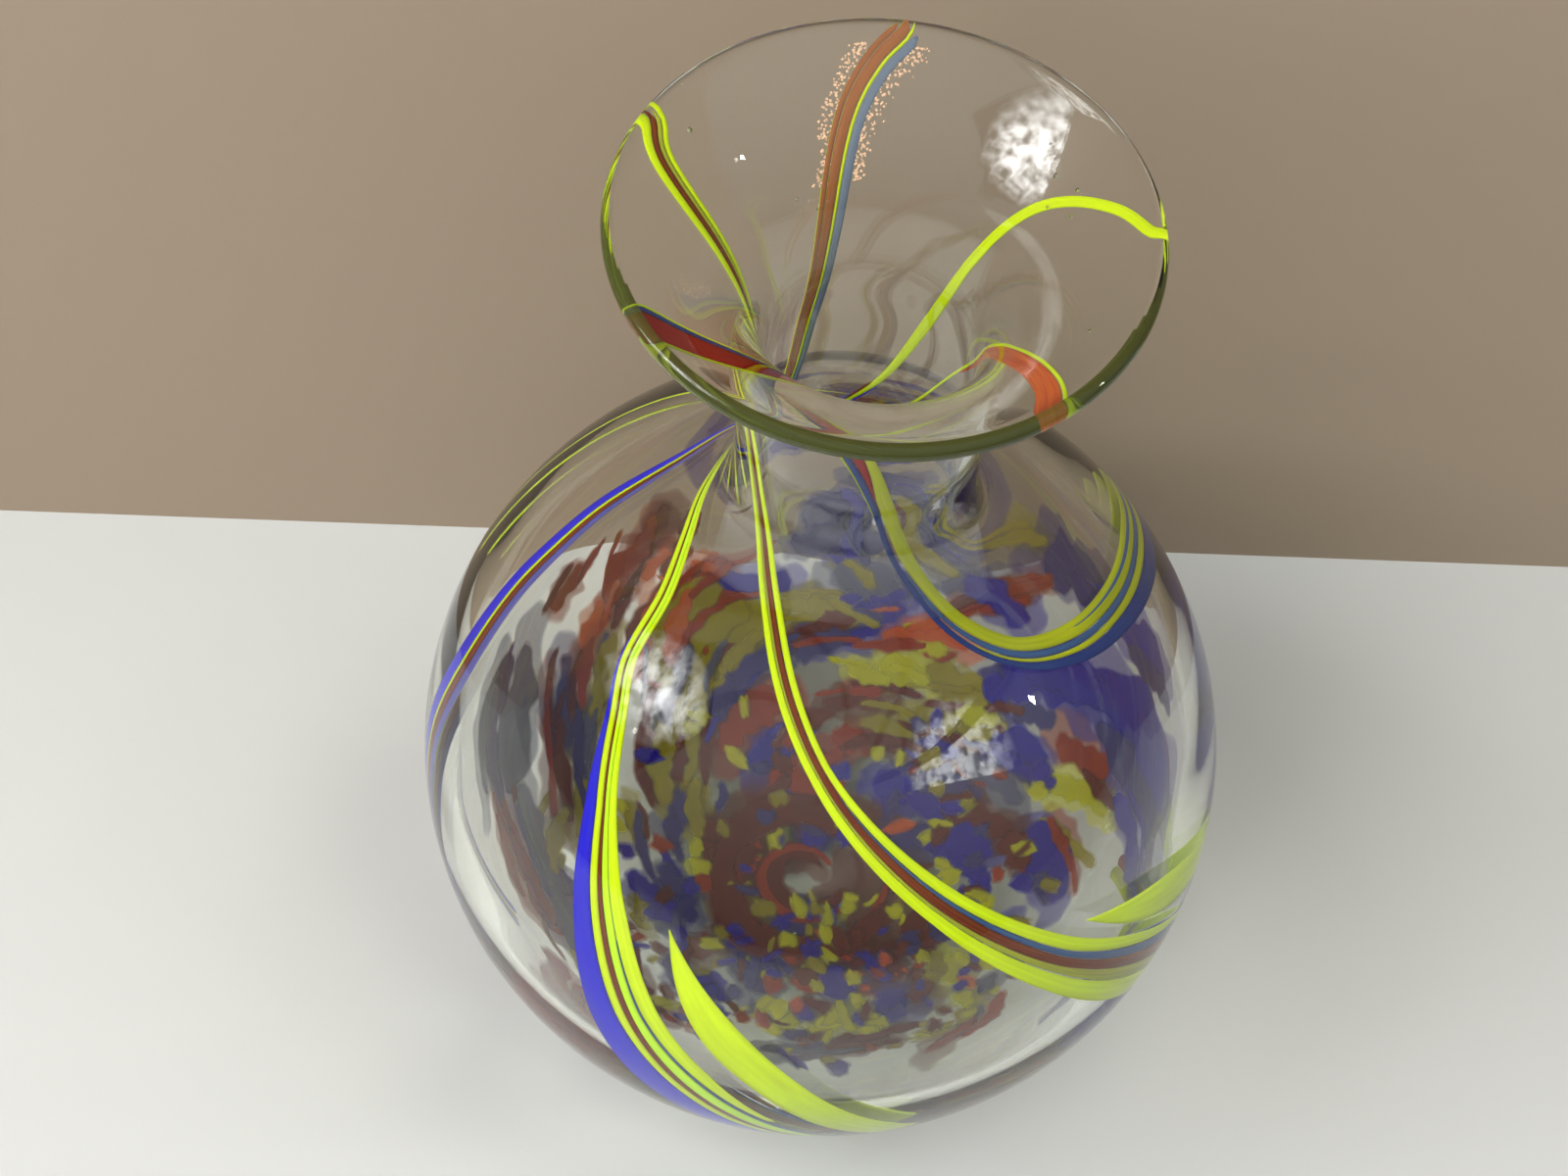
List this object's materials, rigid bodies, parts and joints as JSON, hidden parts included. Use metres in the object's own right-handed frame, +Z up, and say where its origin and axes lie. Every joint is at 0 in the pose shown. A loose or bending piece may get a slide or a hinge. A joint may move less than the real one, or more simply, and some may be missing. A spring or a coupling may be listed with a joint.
{
  "type": "blown glass vase",
  "caption": "Round-bodied blown glass vase with a narrow neck and flared mouth, colour canes swirled over its wall and frit chips cased inside it.",
  "frame": {"origin": "centre of the flat foot, on the surface that the vase stands on", "axes": "+Z up along the axis of the vase, towards its mouth; +X and +Y across it, with the front of the cane pattern towards -Y"},
  "size_m": [0.1497, 0.1501, 0.2173],
  "materials": {
    "blue_cane": "opaque slate blue cane glass, glossy",
    "brown_cane": "dark red-brown cane glass, glossy",
    "cobalt_cane": "opaque cobalt blue cane glass, glossy",
    "frit_brick": "brick red frit chips melted between the gathers",
    "frit_brown": "maroon-brown frit chips melted between the gathers",
    "frit_cobalt": "cobalt blue frit chips melted between the gathers",
    "frit_navy": "purple-blue frit chips drawn into streaks",
    "frit_olive": "olive yellow frit chips drawn into streaks",
    "frit_orange": "orange-red frit chips, partly clear",
    "frit_red": "red frit chip near the foot",
    "inner_gather": "clear blown glass with a few seed bubbles",
    "orange_cane": "streaky orange-red cane glass, slightly clear",
    "outer_gather": "clear blown glass with a faint green tint in its thick edges, fire polished",
    "red_cane": "deep red cane glass, glossy",
    "violet_cane": "blue-violet cane glass, glossy",
    "yellow_cane": "opaque lemon yellow cane glass, glossy"
  },
  "bodies": {
    "root": {"cane_a_blue": "blue_cane", "cane_a_brown": "brown_cane", "cane_a_yellow_lower": "yellow_cane", "cane_a_yellow_upper": "yellow_cane", "cane_b_blue": "blue_cane", "cane_b_brown": "brown_cane", "cane_b_yellow_left": "yellow_cane", "cane_b_yellow_middle": "yellow_cane", "cane_b_yellow_right": "yellow_cane", "cane_c_brown": "brown_cane", "cane_c_cobalt": "cobalt_cane", "cane_c_violet": "violet_cane", "cane_c_yellow": "yellow_cane", "cane_d_blue_inner": "blue_cane", "cane_d_blue_outer": "blue_cane", "cane_d_red": "red_cane", "cane_d_yellow_inner": "yellow_cane", "cane_d_yellow_outer": "yellow_cane", "cane_e_orange": "orange_cane", "cane_e_yellow": "yellow_cane", "frit_brick_1": "frit_brick", "frit_brick_2": "frit_brick", "frit_brick_3": "frit_brick", "frit_brick_4": "frit_brick", "frit_brick_5": "frit_brick", "frit_brown_1": "frit_brown", "frit_brown_2": "frit_brown", "frit_brown_3": "frit_brown", "frit_brown_4": "frit_brown", "frit_cobalt_1": "frit_cobalt", "frit_cobalt_2": "frit_cobalt", "frit_cobalt_3": "frit_cobalt", "frit_cobalt_4": "frit_cobalt", "frit_cobalt_5": "frit_cobalt", "frit_cobalt_6": "frit_cobalt", "frit_cobalt_7": "frit_cobalt", "frit_cobalt_8": "frit_cobalt", "frit_cobalt_9": "frit_cobalt", "frit_navy_1": "frit_navy", "frit_navy_2": "frit_navy", "frit_navy_3": "frit_navy", "frit_navy_4": "frit_navy", "frit_olive_1": "frit_olive", "frit_olive_2": "frit_olive", "frit_olive_3": "frit_olive", "frit_olive_4": "frit_olive", "frit_olive_5": "frit_olive", "frit_olive_6": "frit_olive", "frit_olive_7": "frit_olive", "frit_olive_8": "frit_olive", "frit_orange_1": "frit_orange", "frit_orange_2": "frit_orange", "frit_orange_3": "frit_orange", "frit_red_1": "frit_red", "inner_gather": "inner_gather", "outer_gather": "outer_gather", "yellow_leaf_front": "yellow_cane", "yellow_leaf_right": "yellow_cane"}
  },
  "joints": []
}
